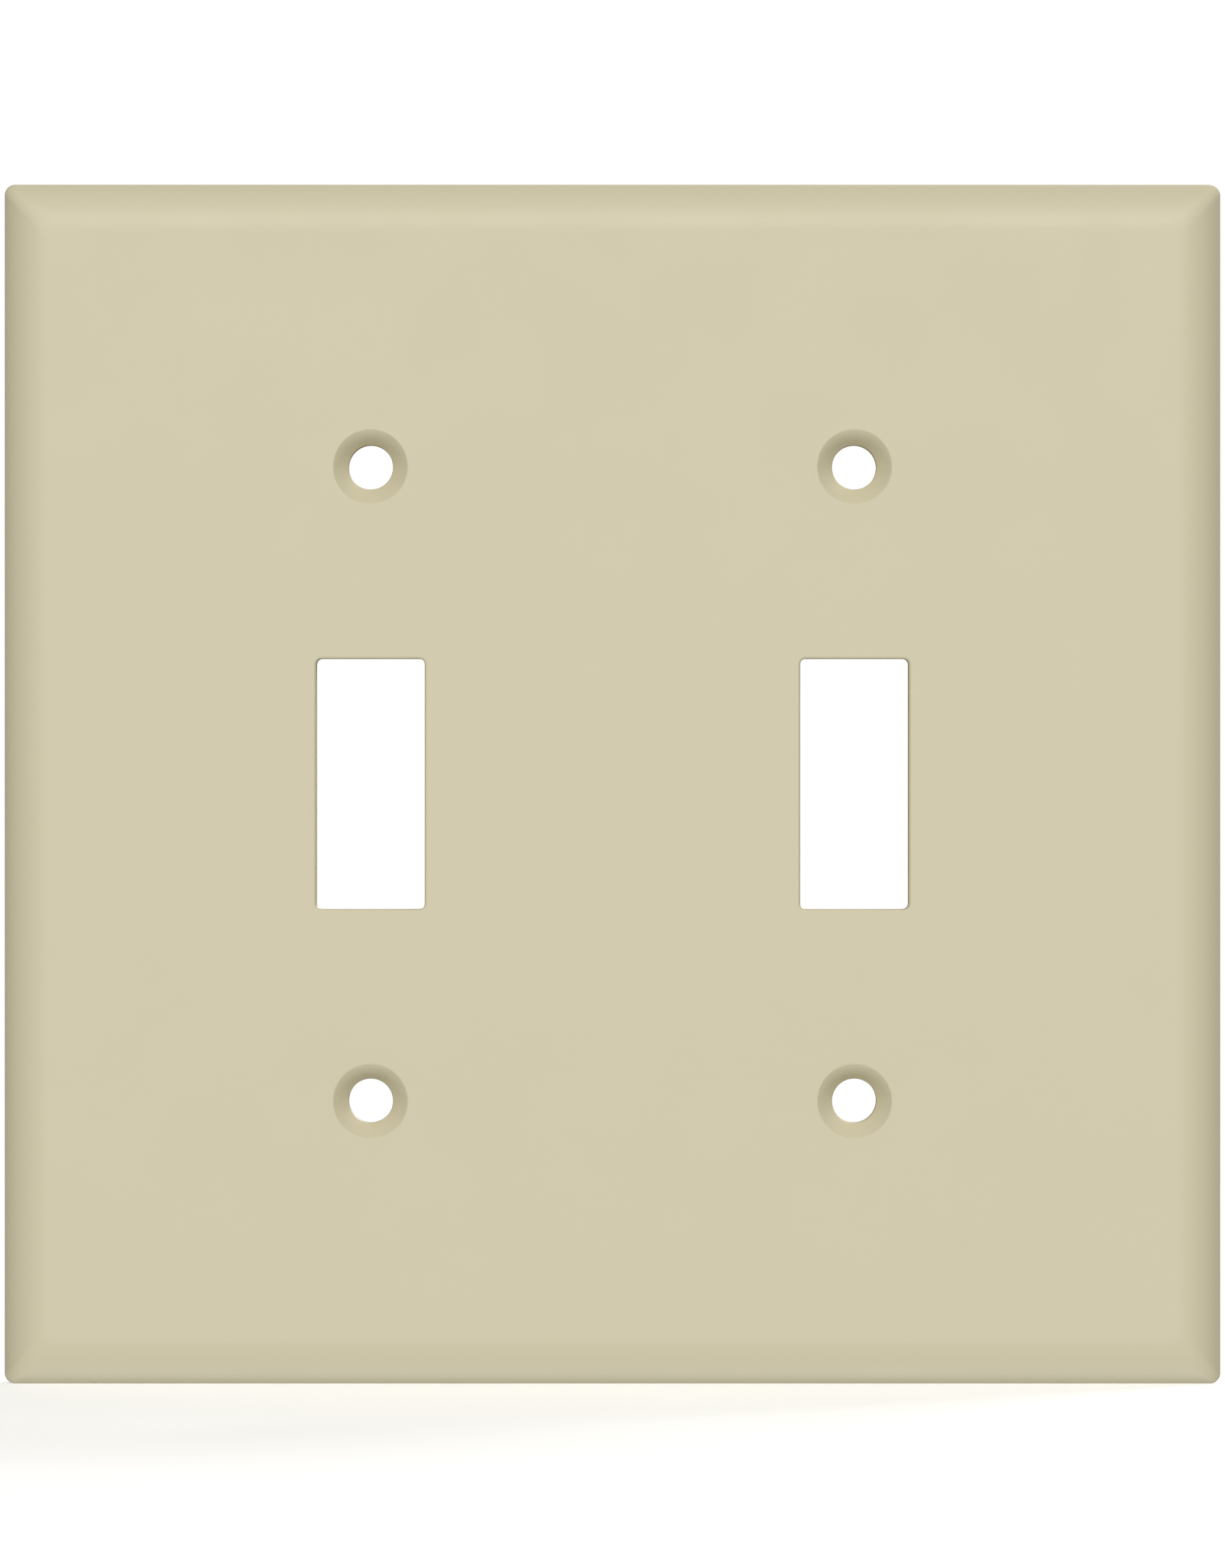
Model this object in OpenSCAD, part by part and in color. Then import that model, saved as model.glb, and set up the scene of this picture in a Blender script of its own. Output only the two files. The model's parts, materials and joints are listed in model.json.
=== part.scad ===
// Two-gang toggle wall plate: one moulding that covers a pair of toggle switches in a wall box.
// It stands as it hangs on a wall: X is its width, Z is up, its face looks towards -Y,
// and the origin is the centre of the plane in which its rim meets the wall.

/* [Plate] */
// Width of the plate over its rim
plate_w = 115.9; // [112:0.1:140]
// Height of the plate over its rim
plate_h = 114.3; // [110:0.1:140]
// Depth from the wall to the flat front face
plate_d = 5.6; // [5.2:0.1:7]
// Radius of the four corners, seen from the front
corner_r = 1; // [0.5:0.1:3.5]
// Thickness of the moulding behind the flat face
face_t = 2.3; // [2:0.1:2.6]
// Thickness of the rim where it meets the wall
rim_t = 2; // [1.6:0.1:2.6]

/* [Shoulder] */
// Radius of the arc that rolls the face over into the rim
shoulder_r = 5; // [4.8:0.1:7]
// Width of that arc, seen from the front
shoulder_w = 4.4; // [3.5:0.1:4.6]

/* [Toggle openings] */
// Distance between the centres of neighbouring gangs
gang_pitch = 46.04; // [45.5:0.01:46.5]
// Width of each toggle opening
toggle_w = 10.3; // [9.5:0.1:11.5]
// Height of each toggle opening
toggle_h = 23.8; // [22:0.1:25]
// Radius in the corners of each toggle opening
toggle_r = 0.5; // [0.2:0.1:1.5]

/* [Screw holes] */
// Distance between the upper and lower screw holes
screw_pitch = 60.33; // [60:0.01:61]
// Distance between the screws that hold a switch in its box, which the ribs must clear
switch_screw_pitch = 83.34; // [83:0.01:84]
// Diameter of the hole for a No. 6 screw
screw_hole_d = 4.2; // [3.8:0.1:4.6]
// Diameter of the countersink at the face
sink_d = 7.1; // [6.6:0.1:7.6]
// Full angle of the countersink
sink_angle = 82; // [80:1:100]

/* [Back] */
// Diameter of the boss behind each screw hole, at its free end
boss_d = 8.4; // [7.6:0.1:10]
// Gap between the wall and the end of each boss
boss_gap = 1.4; // [1:0.1:2]
// Thickness of the collar round each toggle opening
collar_t = 1.4; // [1:0.1:2]
// Gap between the wall and the end of each collar
collar_gap = 1.8; // [1.4:0.1:2.4]
// Thickness of the stiffening ribs
rib_t = 1.2; // [0.8:0.1:1.6]
// Gap between the wall and the edge of each rib
rib_gap = 2.2; // [1.8:0.1:2.6]
// Diameter of the marks that the ejector pins leave
pin_mark_d = 4; // [3:0.1:6]

/* [Hidden] */
$fn = 96;

// How far a cutter runs past the face it cuts
past = 1;
// How far a boss, collar or rib is sunk into the face that carries it
root = 0.4;
// Draft of the bosses: how much wider they are at the root
boss_draft = 0.3;
// Depth of an ejector-pin mark
pin_mark_depth = 0.15;

// The pocket behind the face keeps the wall thickness round the same arcs as the shoulder; an arc
// is at least this much wider in radius than in plan, so that it never turns back under itself
arc_spare = 0.1;
pocket_w = plate_w - 2 * rim_t;
pocket_h = plate_h - 2 * rim_t;
pocket_d = plate_d - face_t;
pocket_corner_r = 1;
pocket_arc_w = shoulder_w - rim_t;
pocket_arc_r = max(shoulder_r - face_t, pocket_arc_w + arc_spare);

sink_depth = (sink_d - screw_hole_d) / 2 / tan(sink_angle / 2);
gang_xs = [-gang_pitch / 2, gang_pitch / 2];
screw_ys = [-screw_pitch / 2, screw_pitch / 2];
// The outermost ribs run from rim to rim, midway between the switches' own screws and the rim
outer_rib_y = (switch_screw_pitch / 2 + pocket_h / 2) / 2;
cross_rib_ys = [-outer_rib_y, -screw_pitch / 2, screw_pitch / 2, outer_rib_y];
// Ejector pins press on the pocket's floor on both sides of each gang, between the ribs
pin_from_gang = 12;
pin_xs = [for (x = gang_xs, side = [-1, 1]) x + side * pin_from_gang];
pin_ys = [-40, -15, 15, 40];

// Everything below is drawn with the plate lying on its rim: the rim's plane is z = 0 and the
// face looks up. wall_plate() then stands it upright.

// Rectangle with round corners, centred on the origin
module round_rect(w, h, r) {
    square([w - 2 * r, h], center = true);
    square([w, h - 2 * r], center = true);
    for (x = [-1, 1], y = [-1, 1])
        translate([x * (w / 2 - r), y * (h / 2 - r)]) circle(r = r);
}

// Cross-section of a slab whose flat top rolls over at both ends; it carries on past the slab's
// sides and below its base, where the slab's plan trims it
module rolled_section(w, d, arc_r, arc_w) {
    arc_x = w / 2 - arc_w;
    foot_x = arc_x + arc_r;
    translate([-foot_x, -arc_r]) square([2 * foot_x, d]);
    translate([-arc_x, -arc_r]) square([2 * arc_x, d + arc_r]);
    for (side = [-1, 1]) translate([side * arc_x, d - arc_r]) circle(r = arc_r);
}

// Slab with that section in both directions and round corners in plan, from z = base up to z = d
module rolled_slab(w, h, d, corner, arc_r, arc_w, base = 0) {
    intersection() {
        translate([0, 0, base]) linear_extrude(height = d - base + past) round_rect(w, h, corner);
        rotate([90, 0, 0]) linear_extrude(height = h + 2 * past, center = true)
            rolled_section(w, d, arc_r, arc_w);
        rotate([90, 0, 90]) linear_extrude(height = w + 2 * past, center = true)
            rolled_section(h, d, arc_r, arc_w);
    }
}

// Moulding without its back features: the outer slab less the pocket
module shell() {
    difference() {
        rolled_slab(plate_w, plate_h, plate_d, corner_r, shoulder_r, shoulder_w);
        rolled_slab(pocket_w, pocket_h, pocket_d, pocket_corner_r, pocket_arc_r, pocket_arc_w,
                    base = -past);
    }
}

// Boss behind one screw hole, from its free end to the face
module boss() {
    h = pocket_d - boss_gap + root;
    translate([0, 0, boss_gap]) cylinder(h = h, d1 = boss_d, d2 = boss_d + boss_draft);
}

// Collar that frames one toggle opening; the opening itself is cut later
module collar() {
    w = toggle_w + 2 * collar_t;
    h = toggle_h + 2 * collar_t;
    translate([0, 0, collar_gap]) linear_extrude(height = pocket_d - collar_gap + root)
        round_rect(w, h, toggle_r + collar_t);
}

// Straight rib centred on the origin, running along Y or along X
module rib(length, along_x = false) {
    rotate([0, 0, along_x ? 90 : 0])
        translate([-rib_t / 2, -length / 2, rib_gap]) cube([rib_t, length, pocket_d - rib_gap + root]);
}

// Ribs: a spine between the gangs, a short rib from boss to boss in each gang, and cross ribs
module ribs() {
    rib(pocket_h + 2 * root);
    for (x = gang_xs) translate([x, 0, 0]) rib(screw_pitch);
    for (y = cross_rib_ys) translate([0, y, 0]) rib(pocket_w + 2 * root, along_x = true);
}

// Stepped hole of one screw, cut from the face: countersink, then the straight hole
module screw_cut() {
    translate([0, 0, -past]) cylinder(h = plate_d + 2 * past, d = screw_hole_d);
    translate([0, 0, plate_d - sink_depth])
        cylinder(h = sink_depth * 2, d1 = screw_hole_d, d2 = 2 * sink_d - screw_hole_d);
}

// Opening of one toggle, through the face and its collar
module toggle_cut() {
    translate([0, 0, -past]) linear_extrude(height = plate_d + 2 * past)
        round_rect(toggle_w, toggle_h, toggle_r);
}

// Shallow round mark of one ejector pin in the pocket's floor
module pin_mark() {
    translate([0, 0, pocket_d - past]) cylinder(h = past + pin_mark_depth, d = pin_mark_d);
}

module wall_plate() {
    color("#D3CCB0") rotate([90, 0, 0]) difference() {
        union() {
            shell();
            ribs();
            for (x = gang_xs) {
                translate([x, 0, 0]) collar();
                for (y = screw_ys) translate([x, y, 0]) boss();
            }
        }
        for (x = gang_xs) {
            translate([x, 0, 0]) toggle_cut();
            for (y = screw_ys) translate([x, y, 0]) screw_cut();
        }
        for (x = pin_xs, y = pin_ys) translate([x, y, 0]) pin_mark();
    }
}

wall_plate();
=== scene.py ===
"""Looks of the two-gang toggle wall plate: its visible moulding, material, floor, light and camera."""

import json
import math

import bmesh
import bpy
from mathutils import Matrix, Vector


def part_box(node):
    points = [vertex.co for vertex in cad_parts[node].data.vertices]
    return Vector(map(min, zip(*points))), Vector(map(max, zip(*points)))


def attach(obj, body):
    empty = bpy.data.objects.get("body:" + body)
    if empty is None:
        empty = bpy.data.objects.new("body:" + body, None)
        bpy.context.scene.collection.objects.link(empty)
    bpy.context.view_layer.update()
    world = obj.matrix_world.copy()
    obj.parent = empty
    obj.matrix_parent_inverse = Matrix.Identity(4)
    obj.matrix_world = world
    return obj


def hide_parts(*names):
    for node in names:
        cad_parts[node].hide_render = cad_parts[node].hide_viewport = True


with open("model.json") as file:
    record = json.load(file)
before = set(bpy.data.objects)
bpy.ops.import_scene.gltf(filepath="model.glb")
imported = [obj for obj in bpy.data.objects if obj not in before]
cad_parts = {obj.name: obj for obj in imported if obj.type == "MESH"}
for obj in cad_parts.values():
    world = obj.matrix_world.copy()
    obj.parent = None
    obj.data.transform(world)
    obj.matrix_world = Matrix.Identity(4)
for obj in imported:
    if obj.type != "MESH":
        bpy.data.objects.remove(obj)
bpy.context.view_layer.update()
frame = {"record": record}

MM = 0.001

# ---------------------------------------------------------------- sizes taken from the frame
plate_low, plate_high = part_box("wall_plate")
HALF_W = (plate_high.x - plate_low.x) / 2
HALF_H = (plate_high.z - plate_low.z) / 2
DEPTH = plate_high.y - plate_low.y
MOUNTS = {m["name"]: m for m in frame["record"]["mounts"]}
SCREWS = MOUNTS["screw_holes"]
SCREW_R = SCREWS["dims"]["hole_r_mm"] * MM
SCREW_Z = SCREWS["dims"]["spacing_y_mm"] * MM / 2
BOSS_END = -SCREWS["pos_m"][1]
GANG_X = [MOUNTS[n]["pos_m"][0] for n in ("left_toggle_opening", "right_toggle_opening")]

# ---------------------------------------------------------------- sizes of the moulding, in metres
FACE_T = 2.3 * MM  # thickness behind the flat face
RIM_T = 2.0 * MM  # thickness of the rim at the wall
CORNER_R = 1.0 * MM  # plan radius at the outline
MITRE_R = 1.3 * MM  # plan radius where the shoulder runs out into the flat face
SHOULDER_R = 5.0 * MM  # radius of the arc that rolls the face over into the rim
SHOULDER_W = 4.4 * MM  # width of that arc, seen from the front
SHOULDER_FOOT_R = 0.8 * MM  # soft turn from the shoulder into the rim's outside
RIM_EDGE_R = 0.25 * MM
POCKET_D = DEPTH - FACE_T
POCKET_CORNER_R = 1.0 * MM
POCKET_FOOT_R = 0.5 * MM  # soft turn from the rim's inside into the arc of the pocket's floor

TOGGLE_HALF_W = 5.15 * MM
TOGGLE_HALF_H = 11.9 * MM
TOGGLE_CORNER_R = 0.5 * MM
TOGGLE_LIP_R = 0.3 * MM

SINK_R = 3.55 * MM
SINK_HALF_ANGLE = math.radians(41)
SINK_DEPTH = (SINK_R - SCREW_R) / math.tan(SINK_HALF_ANGLE)
SINK_LIP_R = 0.25 * MM
SINK_FOOT_R = 0.3 * MM

BOSS_R = 4.2 * MM  # at the free end
COLLAR_T = 1.4 * MM
COLLAR_END = 1.8 * MM  # gap between the wall and the collar's free end
RIB_T = 1.2 * MM
RIB_END = 2.2 * MM  # gap between the wall and the ribs' free edges
RIB_TIP_R = 0.42 * MM  # plan radius at a rib's ends
SWITCH_SCREW_Z = 83.34 / 2 * MM  # the switches' own screws, which the outer ribs clear
OUTER_RIB_Z = (SWITCH_SCREW_Z + HALF_H - RIM_T) / 2
FREE_EDGE_R = 0.2 * MM  # round on the free edges of bosses, collars and ribs
ROOT_FILLET_R = 0.35 * MM
ROOT_SINK = 0.4 * MM  # how far their roots reach into the face, and the ribs' ends into the rim
DRAFT = 0.1 * MM  # how much further out each of their sides stands at the root

PIN_R = 2.0 * MM
PIN_DEPTH = 0.15 * MM
PIN_DRAFT = 0.05 * MM  # how much smaller a mark's radius is at its bottom
PIN_FROM_GANG = 12 * MM
PIN_ZS = [-40 * MM, -15 * MM, 15 * MM, 40 * MM]

OVERSHOOT = 0.01 * MM  # a rounded lip passes the face it meets by this much, for a clean cut
PAST = 1.0 * MM  # how far a cutter runs past the plate
FLANGE = 1.0 * MM  # width of the step in a cutter that rounds the lip of its hole
SLIVER = 0.001 * MM  # edges shorter than this are merged away
SAME_POINT = 0.00001 * MM  # points nearer than this are one point
SPARE = 1.2  # a straight stretch beside an arc is this many times as long as the arc's radius
LARGE_FACE_WEIGHT = 80  # over Blender's neutral 50, so that flat faces keep flat shading

# ---------------------------------------------------------------- fineness of the mesh
# Steps of the arcs in a profile
SHOULDER_STEPS = 16
POCKET_STEPS = 8
FOOT_STEPS = 3  # the soft turn at the foot of either
RIM_EDGE_STEPS = 3
TOGGLE_EDGE_STEPS = 5
EDGE_STEPS = 4  # all other edges

# Steps of a quarter turn, seen from the front, and of each straight side of the outline
OUTLINE_CORNER_STEPS = 10
OUTLINE_SIDE_STEPS = 28
TOGGLE_CORNER_STEPS = 7
COLLAR_CORNER_STEPS = 6
RIB_CORNER_STEPS = 3
BOSS_STEPS = 20
SCREW_STEPS = 24
PIN_STEPS = 12


# ---------------------------------------------------------------- profiles and loops
def arc(centre, radius, start, end, steps):
    """Points (offset, depth) along an arc, with angles in radians from the offset axis."""
    points = []
    for i in range(steps + 1):
        a = start + (end - start) * i / steps
        points.append((centre[0] + radius * math.cos(a), centre[1] + radius * math.sin(a)))
    return points


def rounded(corners, steps):
    """A profile through (offset, depth, radius) corners, each turned by an arc of its radius."""
    points = [corners[0][:2]]
    for before, here, after in zip(corners, corners[1:], corners[2:]):
        radius = here[2]
        if radius == 0:
            points.append(here[:2])
            continue
        corner = Vector(here[:2])
        back = (Vector(before[:2]) - corner).normalized()
        ahead = (Vector(after[:2]) - corner).normalized()
        half = back.angle(ahead) / 2
        centre = corner + (back + ahead).normalized() * radius / math.sin(half)
        first = corner + back * radius / math.tan(half) - centre
        last = corner + ahead * radius / math.tan(half) - centre
        start, sweep = math.atan2(first.y, first.x), math.pi - 2 * half
        if first.cross(last) < 0:
            sweep = -sweep
        points += arc(centre, radius, start, start + sweep, steps)
    points.append(corners[-1][:2])
    return points


def rolled(outer, foot_r, roll_r, roll_w, top, steps):
    """A profile (inset, depth) that rises up a side and rolls over into a flat top, foot first."""
    roll_x, roll_z = outer + roll_w, top - roll_r
    rise = math.sqrt((roll_r - foot_r) ** 2 - (roll_w - foot_r) ** 2)
    turn = math.atan2(rise, roll_w - foot_r)
    foot = arc((outer + foot_r, roll_z + rise), -foot_r, 0, -turn, FOOT_STEPS)
    roll = arc((roll_x, roll_z), -roll_r, -turn, -math.pi / 2, steps)
    return foot + roll[1:]


def plan_loop(half_w, half_h, corner_r, corner_steps, side_steps=0):
    """Points (x, z) round a rectangle with round corners; a circle when corner_r is its half size.
    side_steps is how many steps each straight side is cut into."""
    points = []
    for quarter in range(4):
        sx = 1 if quarter in (0, 3) else -1
        sz = 1 if quarter < 2 else -1
        centre = (sx * (half_w - corner_r), sz * (half_h - corner_r))
        start = quarter * math.pi / 2
        corner = arc(centre, corner_r, start, start + math.pi / 2, corner_steps)
        if points and side_steps:
            points += between(points[-1], corner[0], side_steps)
        points += corner
    if side_steps:
        points += between(points[-1], points[0], side_steps)
    return points


def between(a, b, steps):
    """The points strictly between a and b that cut the way in equal steps."""
    return [(a[0] + (b[0] - a[0]) * i / steps, a[1] + (b[1] - a[1]) * i / steps)
            for i in range(1, steps)]


# ---------------------------------------------------------------- solids
def loft(name, loops):
    """A closed solid through loops of points, each loop a list of (x, y, z), capped at both ends."""
    bm = bmesh.new()
    rings = [[bm.verts.new(p) for p in loop] for loop in loops]
    for ring, following in zip(rings, rings[1:]):
        for i in range(len(ring)):
            j = (i + 1) % len(ring)
            bm.faces.new((ring[i], ring[j], following[j], following[i]))
    bm.faces.new(rings[0][::-1])
    bm.faces.new(rings[-1])
    bmesh.ops.remove_doubles(bm, verts=bm.verts, dist=SAME_POINT)
    bmesh.ops.recalc_face_normals(bm, faces=bm.faces)
    mesh = bpy.data.meshes.new(name)
    bm.to_mesh(mesh)
    bm.free()
    solid = bpy.data.objects.new(name, mesh)
    bpy.context.scene.collection.objects.link(solid)
    return solid


def prism(name, x, z, half_w, half_h, corner_r, profile, corner_steps):
    """A solid round (x, z) whose outline grows by each profile offset at that profile depth."""
    loops = []
    for offset, depth in profile:
        plan = plan_loop(half_w + offset, half_h + offset, corner_r + offset, corner_steps)
        loops.append([(x + px, -depth, z + pz) for px, pz in plan])
    return loft(name, loops)


def joined(name, solids):
    """Several separate solids as one object."""
    bm = bmesh.new()
    for solid in solids:
        bm.from_mesh(solid.data)
        bpy.data.objects.remove(solid)
    mesh = bpy.data.meshes.new(name)
    bm.to_mesh(mesh)
    bm.free()
    group = bpy.data.objects.new(name, mesh)
    bpy.context.scene.collection.objects.link(group)
    return group


def combine(body, tool, operation):
    """Adds tool to body or cuts it away, and removes tool."""
    step = body.modifiers.new(operation, "BOOLEAN")
    step.operation = operation
    step.solver = "EXACT"
    step.object = tool
    depsgraph = bpy.context.evaluated_depsgraph_get()
    result = bpy.data.meshes.new_from_object(body.evaluated_get(depsgraph))
    body.modifiers.clear()
    body.data = result
    bpy.data.objects.remove(tool)


# ---------------------------------------------------------------- the moulding
def shell():
    """The moulding without its back features: face, shoulder, rim and pocket as one surface."""
    outside = rolled(0, SHOULDER_FOOT_R, SHOULDER_R, SHOULDER_W, DEPTH, SHOULDER_STEPS)
    inside = rolled(RIM_T, POCKET_FOOT_R, SHOULDER_R - FACE_T, SHOULDER_W - RIM_T, POCKET_D,
                    POCKET_STEPS)
    rim = rounded([
        (0, outside[0][1], 0),
        (0, 0, RIM_EDGE_R),
        (RIM_T, 0, RIM_EDGE_R),
        (RIM_T, inside[0][1], 0),
    ], RIM_EDGE_STEPS)
    profile = outside[::-1] + rim[1:-1] + inside
    outer_points = len(outside) + len(rim) // 2 - 1  # from the face to the rim's outer edge
    loops = []
    for k, (inset, depth) in enumerate(profile):
        if k < outer_points:
            share = min(inset / SHOULDER_W, 1)
            corner_r = CORNER_R + (MITRE_R - CORNER_R) * share
        else:
            corner_r = POCKET_CORNER_R
        plan = plan_loop(HALF_W - inset, HALF_H - inset, corner_r,
                         OUTLINE_CORNER_STEPS, OUTLINE_SIDE_STEPS)
        loops.append([(x, -depth, z) for x, z in plan])
    return loft("plate_moulding", loops)


def pad(name, x, z, half_w, half_h, corner_r, free_end, corner_steps):
    """A boss, collar or rib: it stands on the pocket's floor and ends at free_end from the wall."""
    profile = rounded([
        (-FREE_EDGE_R * SPARE, free_end, 0),
        (0, free_end, FREE_EDGE_R),
        (DRAFT, POCKET_D, ROOT_FILLET_R),
        (DRAFT + ROOT_FILLET_R * SPARE, POCKET_D + OVERSHOOT, 0),
    ], EDGE_STEPS)
    profile.append((profile[-1][0], POCKET_D + ROOT_SINK))
    return prism(name, x, z, half_w, half_h, corner_r, profile, corner_steps)


def bosses_and_collars():
    """A boss behind each screw hole, and a collar round each toggle opening."""
    pads = []
    for x in GANG_X:
        for z in (-SCREW_Z, SCREW_Z):
            pads.append(pad("boss", x, z, BOSS_R, BOSS_R, BOSS_R, BOSS_END, BOSS_STEPS))
        pads.append(pad("collar", x, 0, TOGGLE_HALF_W + COLLAR_T, TOGGLE_HALF_H + COLLAR_T,
                        TOGGLE_CORNER_R + COLLAR_T, COLLAR_END, COLLAR_CORNER_STEPS))
    return joined("bosses_and_collars", pads)


def rib(x, z, half_w, half_h):
    """One straight rib whose middle is at (x, z)."""
    return pad("rib", x, z, half_w, half_h, RIB_TIP_R, RIB_END, RIB_CORNER_STEPS)


def upright_ribs():
    """The spine between the gangs, and a rib from boss to boss in each gang."""
    spine = rib(0, 0, RIB_T / 2, HALF_H - RIM_T + ROOT_SINK)
    return joined("upright_ribs", [spine] + [rib(x, 0, RIB_T / 2, SCREW_Z) for x in GANG_X])


def cross_ribs():
    """Ribs from side to side: two through the bosses, and one each near the top and the bottom."""
    half_length = HALF_W - RIM_T + ROOT_SINK
    heights = (-OUTER_RIB_Z, -SCREW_Z, SCREW_Z, OUTER_RIB_Z)
    return joined("cross_ribs", [rib(0, z, half_length, RIB_T / 2) for z in heights])


def toggle_cutter(x):
    """The opening of one toggle, with a soft lip at the face and at the collar's end."""
    profile = rounded([
        (FLANGE, -PAST, 0),
        (FLANGE, COLLAR_END - OVERSHOOT, 0),
        (0, COLLAR_END - OVERSHOOT, FREE_EDGE_R),
        (0, DEPTH + OVERSHOOT, TOGGLE_LIP_R),
        (FLANGE, DEPTH + OVERSHOOT, 0),
        (FLANGE, DEPTH + PAST, 0),
    ], TOGGLE_EDGE_STEPS)
    return prism("toggle_cutter", x, 0, TOGGLE_HALF_W, TOGGLE_HALF_H, TOGGLE_CORNER_R, profile,
                 TOGGLE_CORNER_STEPS)


def screw_cutter(x, z):
    """One screw hole with its countersink, all its edges a little rounded."""
    sink = SINK_R - SCREW_R
    profile = rounded([
        (FLANGE, -PAST, 0),
        (FLANGE, BOSS_END - OVERSHOOT, 0),
        (0, BOSS_END - OVERSHOOT, FREE_EDGE_R),
        (0, DEPTH - SINK_DEPTH, SINK_FOOT_R),
        (sink, DEPTH + OVERSHOOT, SINK_LIP_R),
        (sink + FLANGE, DEPTH + OVERSHOOT, 0),
        (sink + FLANGE, DEPTH + PAST, 0),
    ], EDGE_STEPS)
    return prism("screw_cutter", x, z, SCREW_R, SCREW_R, SCREW_R, profile, SCREW_STEPS)


def pin_cutter(x, z):
    """The shallow mark of one ejector pin in the pocket's floor."""
    profile = [(0, POCKET_D - PAST), (0, POCKET_D), (-PIN_DRAFT, POCKET_D + PIN_DEPTH)]
    return prism("pin_cutter", x, z, PIN_R, PIN_R, PIN_R, profile, PIN_STEPS)


def plate_moulding():
    """The whole plate: the shell with all that stands in its pocket, less every hole and mark."""
    body = shell()
    combine(body, bosses_and_collars(), "UNION")
    combine(body, upright_ribs(), "UNION")
    combine(body, cross_ribs(), "UNION")
    cutters = [toggle_cutter(x) for x in GANG_X]
    cutters += [screw_cutter(x, z) for x in GANG_X for z in (-SCREW_Z, SCREW_Z)]
    for x in GANG_X:
        for side in (-1, 1):
            cutters += [pin_cutter(x + side * PIN_FROM_GANG, z) for z in PIN_ZS]
    combine(body, joined("cutters", cutters), "DIFFERENCE")
    weld(body.data)
    return body


def weld(mesh):
    """Takes out the slivers that the cuts leave where two edges nearly meet."""
    bm = bmesh.new()
    bm.from_mesh(mesh)
    bmesh.ops.dissolve_degenerate(bm, dist=SLIVER, edges=bm.edges)
    bm.to_mesh(mesh)
    bm.free()


def in_pocket(point):
    """Whether a point of the surface belongs to the hollow back, apart from the holes' walls."""
    inside_rim = abs(point.x) < HALF_W - RIM_T / 2 and abs(point.z) < HALF_H - RIM_T / 2
    behind_face = RIM_EDGE_R / 2 < -point.y < POCKET_D + PIN_DEPTH + SLIVER
    in_hole = any(math.hypot(point.x - x, abs(point.z) - SCREW_Z) < SCREW_R + SLIVER for x in GANG_X)
    return inside_rim and behind_face and not in_hole


def paint(piece, front, back):
    """Gives the hollow back its own finish and all the rest the face's."""
    mesh = piece.data
    mesh.materials.clear()
    mesh.materials.append(front)
    mesh.materials.append(back)
    for face in mesh.polygons:
        face.material_index = int(in_pocket(face.center))


def finish_normals(piece, sharp_angle):
    """Smooth shading with flat faces kept flat and real creases kept crisp."""
    mesh = piece.data
    mesh.shade_smooth()
    mesh.set_sharp_from_angle(angle=math.radians(sharp_angle))
    weigh = piece.modifiers.new("flat_faces", "WEIGHTED_NORMAL")
    weigh.mode = "FACE_AREA"
    weigh.weight = LARGE_FACE_WEIGHT
    weigh.keep_sharp = True


# ---------------------------------------------------------------- materials
# Sizes of the patterns in the moulding compound and on its surface, in metres
CLOUD = 30 * MM
FLECK = 1.2 * MM
GLOSS_PATCH = 8 * MM
PEEL = 2.6 * MM
GRAIN = 0.18 * MM
PAPER_CLOUD = 40 * MM

NOISE_LOW, NOISE_HIGH = 0.3, 0.7  # most noise values lie between these
THERMOSET_IOR = 1.5


def new_material(name):
    """A fresh node material: itself, its nodes, its links and its shader."""
    material = bpy.data.materials.new(name)
    material.use_nodes = True
    nodes, links = material.node_tree.nodes, material.node_tree.links
    return material, nodes, links, nodes["Principled BSDF"]


def noise(nodes, links, coords, size, detail):
    """Noise whose blobs are about size metres across."""
    texture = nodes.new("ShaderNodeTexNoise")
    texture.inputs["Scale"].default_value = 1 / size
    texture.inputs["Detail"].default_value = detail
    links.new(coords, texture.inputs["Vector"])
    return texture.outputs["Fac"]


def spread(nodes, links, value, low, high):
    """A noise value moved smoothly into the range from low to high."""
    ranged = nodes.new("ShaderNodeMapRange")
    ranged.interpolation_type = "SMOOTHSTEP"
    ranged.inputs["From Min"].default_value = NOISE_LOW
    ranged.inputs["From Max"].default_value = NOISE_HIGH
    ranged.inputs["To Min"].default_value = low
    ranged.inputs["To Max"].default_value = high
    links.new(value, ranged.inputs["Value"])
    return ranged.outputs["Result"]


def bump(nodes, links, height, distance, before=None):
    """A bump of that height in metres, laid over an earlier one."""
    relief = nodes.new("ShaderNodeBump")
    relief.inputs["Strength"].default_value = 1.0
    relief.inputs["Distance"].default_value = distance
    links.new(height, relief.inputs["Height"])
    if before is not None:
        links.new(before, relief.inputs["Normal"])
    return relief.outputs["Normal"]


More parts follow.
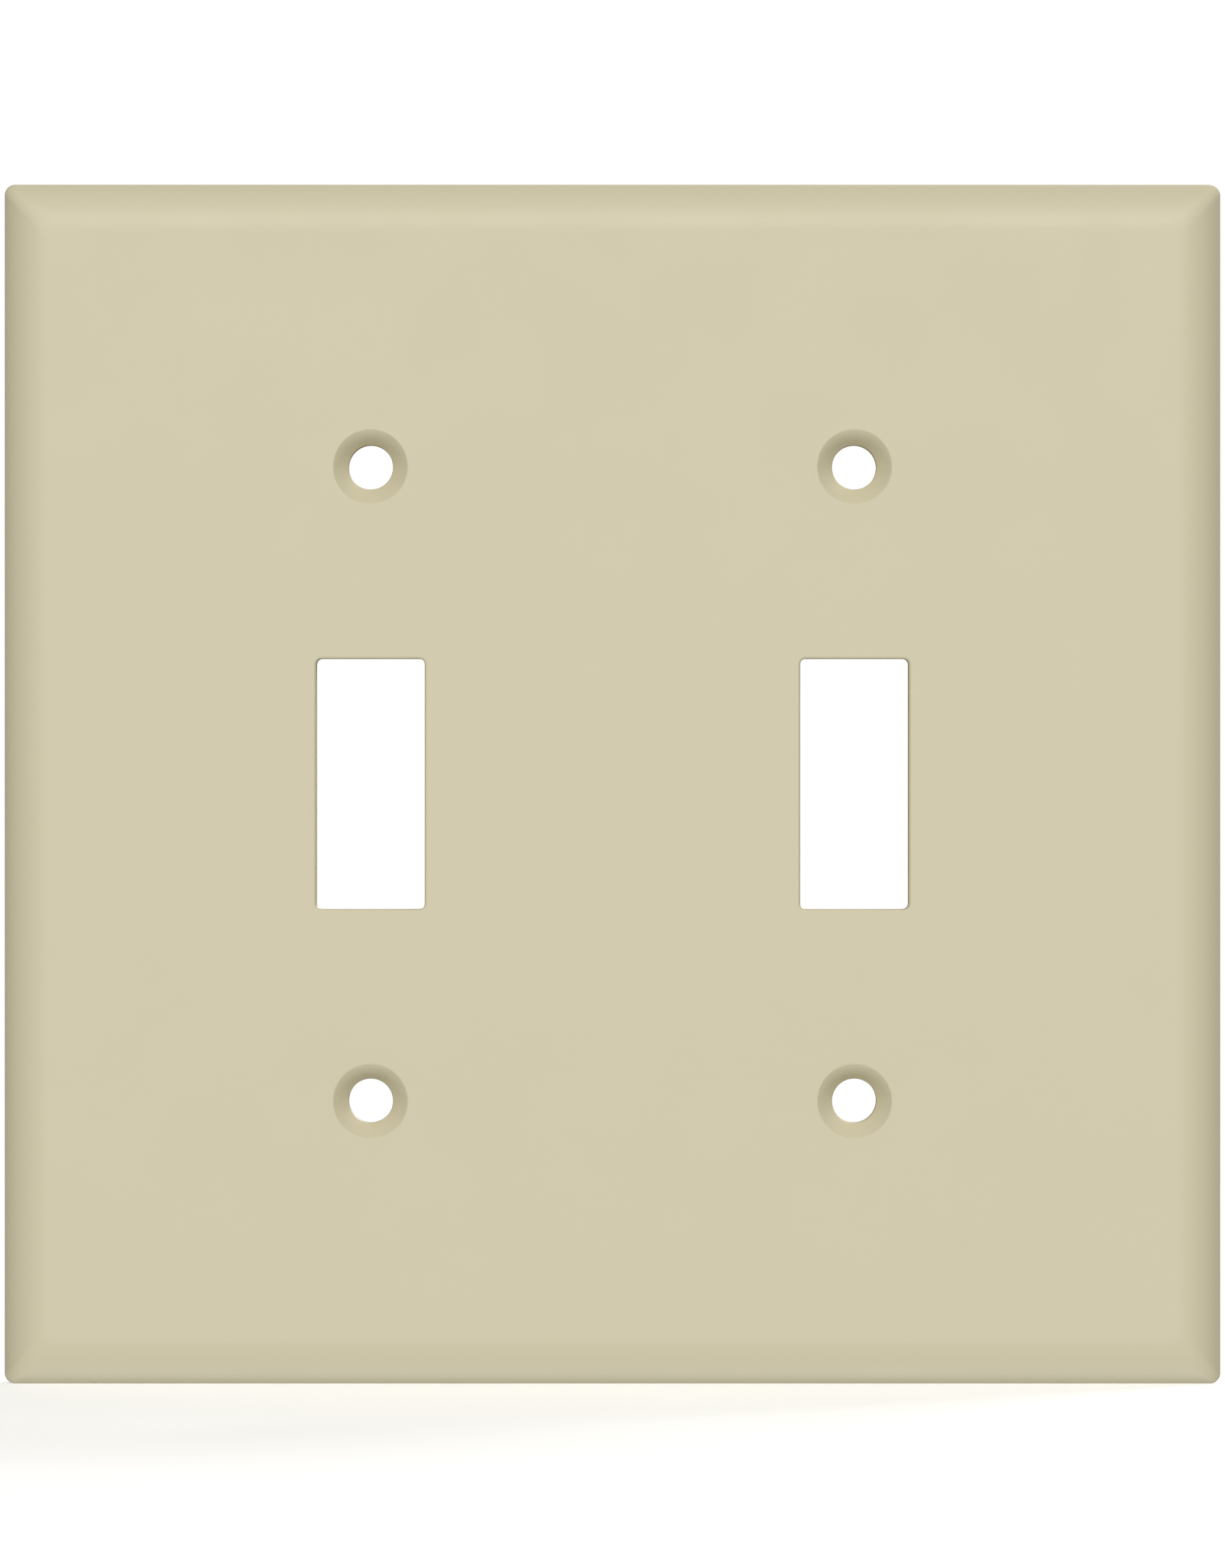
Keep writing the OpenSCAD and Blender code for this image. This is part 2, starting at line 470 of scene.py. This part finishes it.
def ivory(name, colour, uneven, roughness, peel, grain):
    """Ivory thermoset: faint mottling, uneven gloss, orange peel and fine grain in the relief.
    The colour wanders by the share uneven to each side, roughness is the lowest and the highest,
    and peel and grain are heights in metres."""
    material, nodes, links, shader = new_material(name)
    coords = nodes.new("ShaderNodeTexCoord").outputs["Object"]
    cloud = nodes.new("ShaderNodeMix")
    cloud.data_type = "RGBA"
    links.new(noise(nodes, links, coords, CLOUD, detail=2), cloud.inputs["Factor"])
    cloud.inputs["A"].default_value = [c * (1 - uneven) for c in colour] + [1]
    cloud.inputs["B"].default_value = [c * (1 + uneven) for c in colour] + [1]
    fleck = nodes.new("ShaderNodeMix")
    fleck.data_type = "RGBA"
    fleck.blend_type = "MULTIPLY"
    fleck.inputs["Factor"].default_value = 1.0
    shade = spread(nodes, links, noise(nodes, links, coords, FLECK, detail=2), 1 - uneven, 1)
    links.new(cloud.outputs["Result"], fleck.inputs["A"])
    links.new(shade, fleck.inputs["B"])
    links.new(fleck.outputs["Result"], shader.inputs["Base Color"])
    patches = noise(nodes, links, coords, GLOSS_PATCH, detail=2)
    links.new(spread(nodes, links, patches, *roughness), shader.inputs["Roughness"])
    waves = bump(nodes, links, noise(nodes, links, coords, PEEL, detail=0), peel)
    fine = bump(nodes, links, noise(nodes, links, coords, GRAIN, detail=1), grain, waves)
    links.new(fine, shader.inputs["Normal"])
    shader.inputs["IOR"].default_value = THERMOSET_IOR
    return material


def floor_material(glow):
    """Matt white paper on a light table that glows through it."""
    material, nodes, links, shader = new_material("white_paper")
    coords = nodes.new("ShaderNodeTexCoord").outputs["Object"]
    clouds = noise(nodes, links, coords, PAPER_CLOUD, detail=3)
    tone = spread(nodes, links, clouds, low=0.90, high=0.92)
    colour = nodes.new("ShaderNodeCombineColor")
    for channel in ("Red", "Green", "Blue"):
        links.new(tone, colour.inputs[channel])
    links.new(colour.outputs["Color"], shader.inputs["Base Color"])
    shader.inputs["Roughness"].default_value = 0.9
    shader.inputs["Specular IOR Level"].default_value = 0.2
    shader.inputs["Emission Color"].default_value = (1, 1, 1, 1)
    shader.inputs["Emission Strength"].default_value = glow
    return material


# ---------------------------------------------------------------- floor, light and camera
FLOOR_SQUARES = 8  # along each side of the floor's mesh
WHITE = 1.1  # strength of the background that the camera sees, a little past pure white
HORIZON_BAND = 0.4  # how far over and under the horizon its light changes, as a sine

LONG_SIDE_MM = 36  # the sensor's longer side, which is its height in an upright image
IMAGE_W, IMAGE_H = 1600, 2048
CLIP_START, CLIP_END = 0.01, 20  # metres between which the camera sees


def floor(size, glow):
    """A plain sheet under the plate's lower edge. It shows shadows but holds back and throws back
    no light, so the low softbox reaches the plate."""
    bm = bmesh.new()
    bmesh.ops.create_grid(bm, x_segments=FLOOR_SQUARES, y_segments=FLOOR_SQUARES, size=size / 2)
    mesh = bpy.data.meshes.new("floor")
    bm.to_mesh(mesh)
    bm.free()
    sheet = bpy.data.objects.new("floor", mesh)
    sheet.location = (0, 0, plate_low.z)
    sheet.visible_diffuse = False
    sheet.visible_glossy = False
    sheet.visible_shadow = False
    mesh.materials.append(floor_material(glow))
    bpy.context.scene.collection.objects.link(sheet)


def softbox(name, turn, rise, distance, size, light):
    """A soft light of that width and height, aimed at the plate's middle and unseen by the camera.
    It stands turn degrees round from the front and rise degrees up, and light is the brightness
    that it gives to a white surface facing it."""
    turn, rise = math.radians(turn), math.radians(rise)
    towards = Vector((math.sin(turn) * math.cos(rise), -math.cos(turn) * math.cos(rise),
                      math.sin(rise)))
    data = bpy.data.lights.new(name, "AREA")
    data.shape = "RECTANGLE"
    data.size, data.size_y = size
    data.energy = light * (math.pi * distance) ** 2
    lamp = bpy.data.objects.new(name, data)
    lamp.location = towards * distance
    lamp.rotation_mode = "QUATERNION"
    lamp.rotation_quaternion = towards.to_track_quat("Z", "Y")
    lamp.visible_camera = False
    bpy.context.scene.collection.objects.link(lamp)


def surroundings(above, below, colour):
    """White seen by the camera; everything else is lit by a dimmer colour, of strength above over
    the horizon and of strength below under it, with a soft change between."""
    world = bpy.data.worlds.new("studio")
    world.use_nodes = True
    nodes, links = world.node_tree.nodes, world.node_tree.links
    nodes.clear()
    seen, cast = nodes.new("ShaderNodeBackground"), nodes.new("ShaderNodeBackground")
    seen.inputs["Color"].default_value = (1, 1, 1, 1)
    seen.inputs["Strength"].default_value = WHITE
    cast.inputs["Color"].default_value = (*colour, 1)
    height = nodes.new("ShaderNodeSeparateXYZ")
    links.new(nodes.new("ShaderNodeTexCoord").outputs["Generated"], height.inputs["Vector"])
    strength = nodes.new("ShaderNodeMapRange")
    strength.interpolation_type = "SMOOTHSTEP"
    strength.inputs["From Min"].default_value = -HORIZON_BAND
    strength.inputs["From Max"].default_value = HORIZON_BAND
    strength.inputs["To Min"].default_value = below
    strength.inputs["To Max"].default_value = above
    links.new(height.outputs["Z"], strength.inputs["Value"])
    links.new(strength.outputs["Result"], cast.inputs["Strength"])
    path, mix = nodes.new("ShaderNodeLightPath"), nodes.new("ShaderNodeMixShader")
    links.new(path.outputs["Is Camera Ray"], mix.inputs["Fac"])
    links.new(cast.outputs["Background"], mix.inputs[1])
    links.new(seen.outputs["Background"], mix.inputs[2])
    out = nodes.new("ShaderNodeOutputWorld")
    links.new(mix.outputs["Shader"], out.inputs["Surface"])
    bpy.context.scene.world = world


def camera(distance, plate_share):
    """Square on to the face, from distance, with the plate filling plate_share of the width."""
    shoulder_drop = SHOULDER_R - math.sqrt(SHOULDER_R ** 2 - SHOULDER_W ** 2)
    seen_h = 2 * HALF_W / plate_share * IMAGE_H / IMAGE_W
    data = bpy.data.cameras.new("camera")
    data.sensor_width = LONG_SIDE_MM
    data.lens = LONG_SIDE_MM * (distance + shoulder_drop) / seen_h
    data.clip_start, data.clip_end = CLIP_START, CLIP_END
    eye = bpy.data.objects.new("camera", data)
    eye.location = (0, -DEPTH - distance, 0)
    eye.rotation_euler = (math.pi / 2, 0, 0)
    bpy.context.scene.collection.objects.link(eye)
    bpy.context.scene.camera = eye


# ---------------------------------------------------------------- put together
camera(distance=1.0, plate_share=0.9925)

plate = plate_moulding()
gloss_face = ivory("ivory_thermoset", colour=(0.671, 0.621, 0.440), uneven=0.003,
                   roughness=(0.48, 0.52), peel=0.004 * MM, grain=0.0004 * MM)
satin_back = ivory("ivory_back", colour=(0.655, 0.602, 0.421), uneven=0.008,
                   roughness=(0.56, 0.66), peel=0.006 * MM, grain=0.0025 * MM)
paint(plate, front=gloss_face, back=satin_back)
finish_normals(plate, sharp_angle=32)
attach(plate, "root")
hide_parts("wall_plate")

floor(size=1.0, glow=0.38)
surroundings(above=0.32, below=0.19, colour=(1, 0.97, 0.88))
softbox("front", turn=0, rise=20, distance=8.0, size=(4.3, 4.3), light=0.725)
softbox("low", turn=0, rise=-85, distance=1.6, size=(1.2, 0.4), light=0.38)
softbox("back", turn=150, rise=30, distance=1.6, size=(1.0, 1.0), light=0.70)
bpy.context.scene.view_settings.view_transform = "Standard"
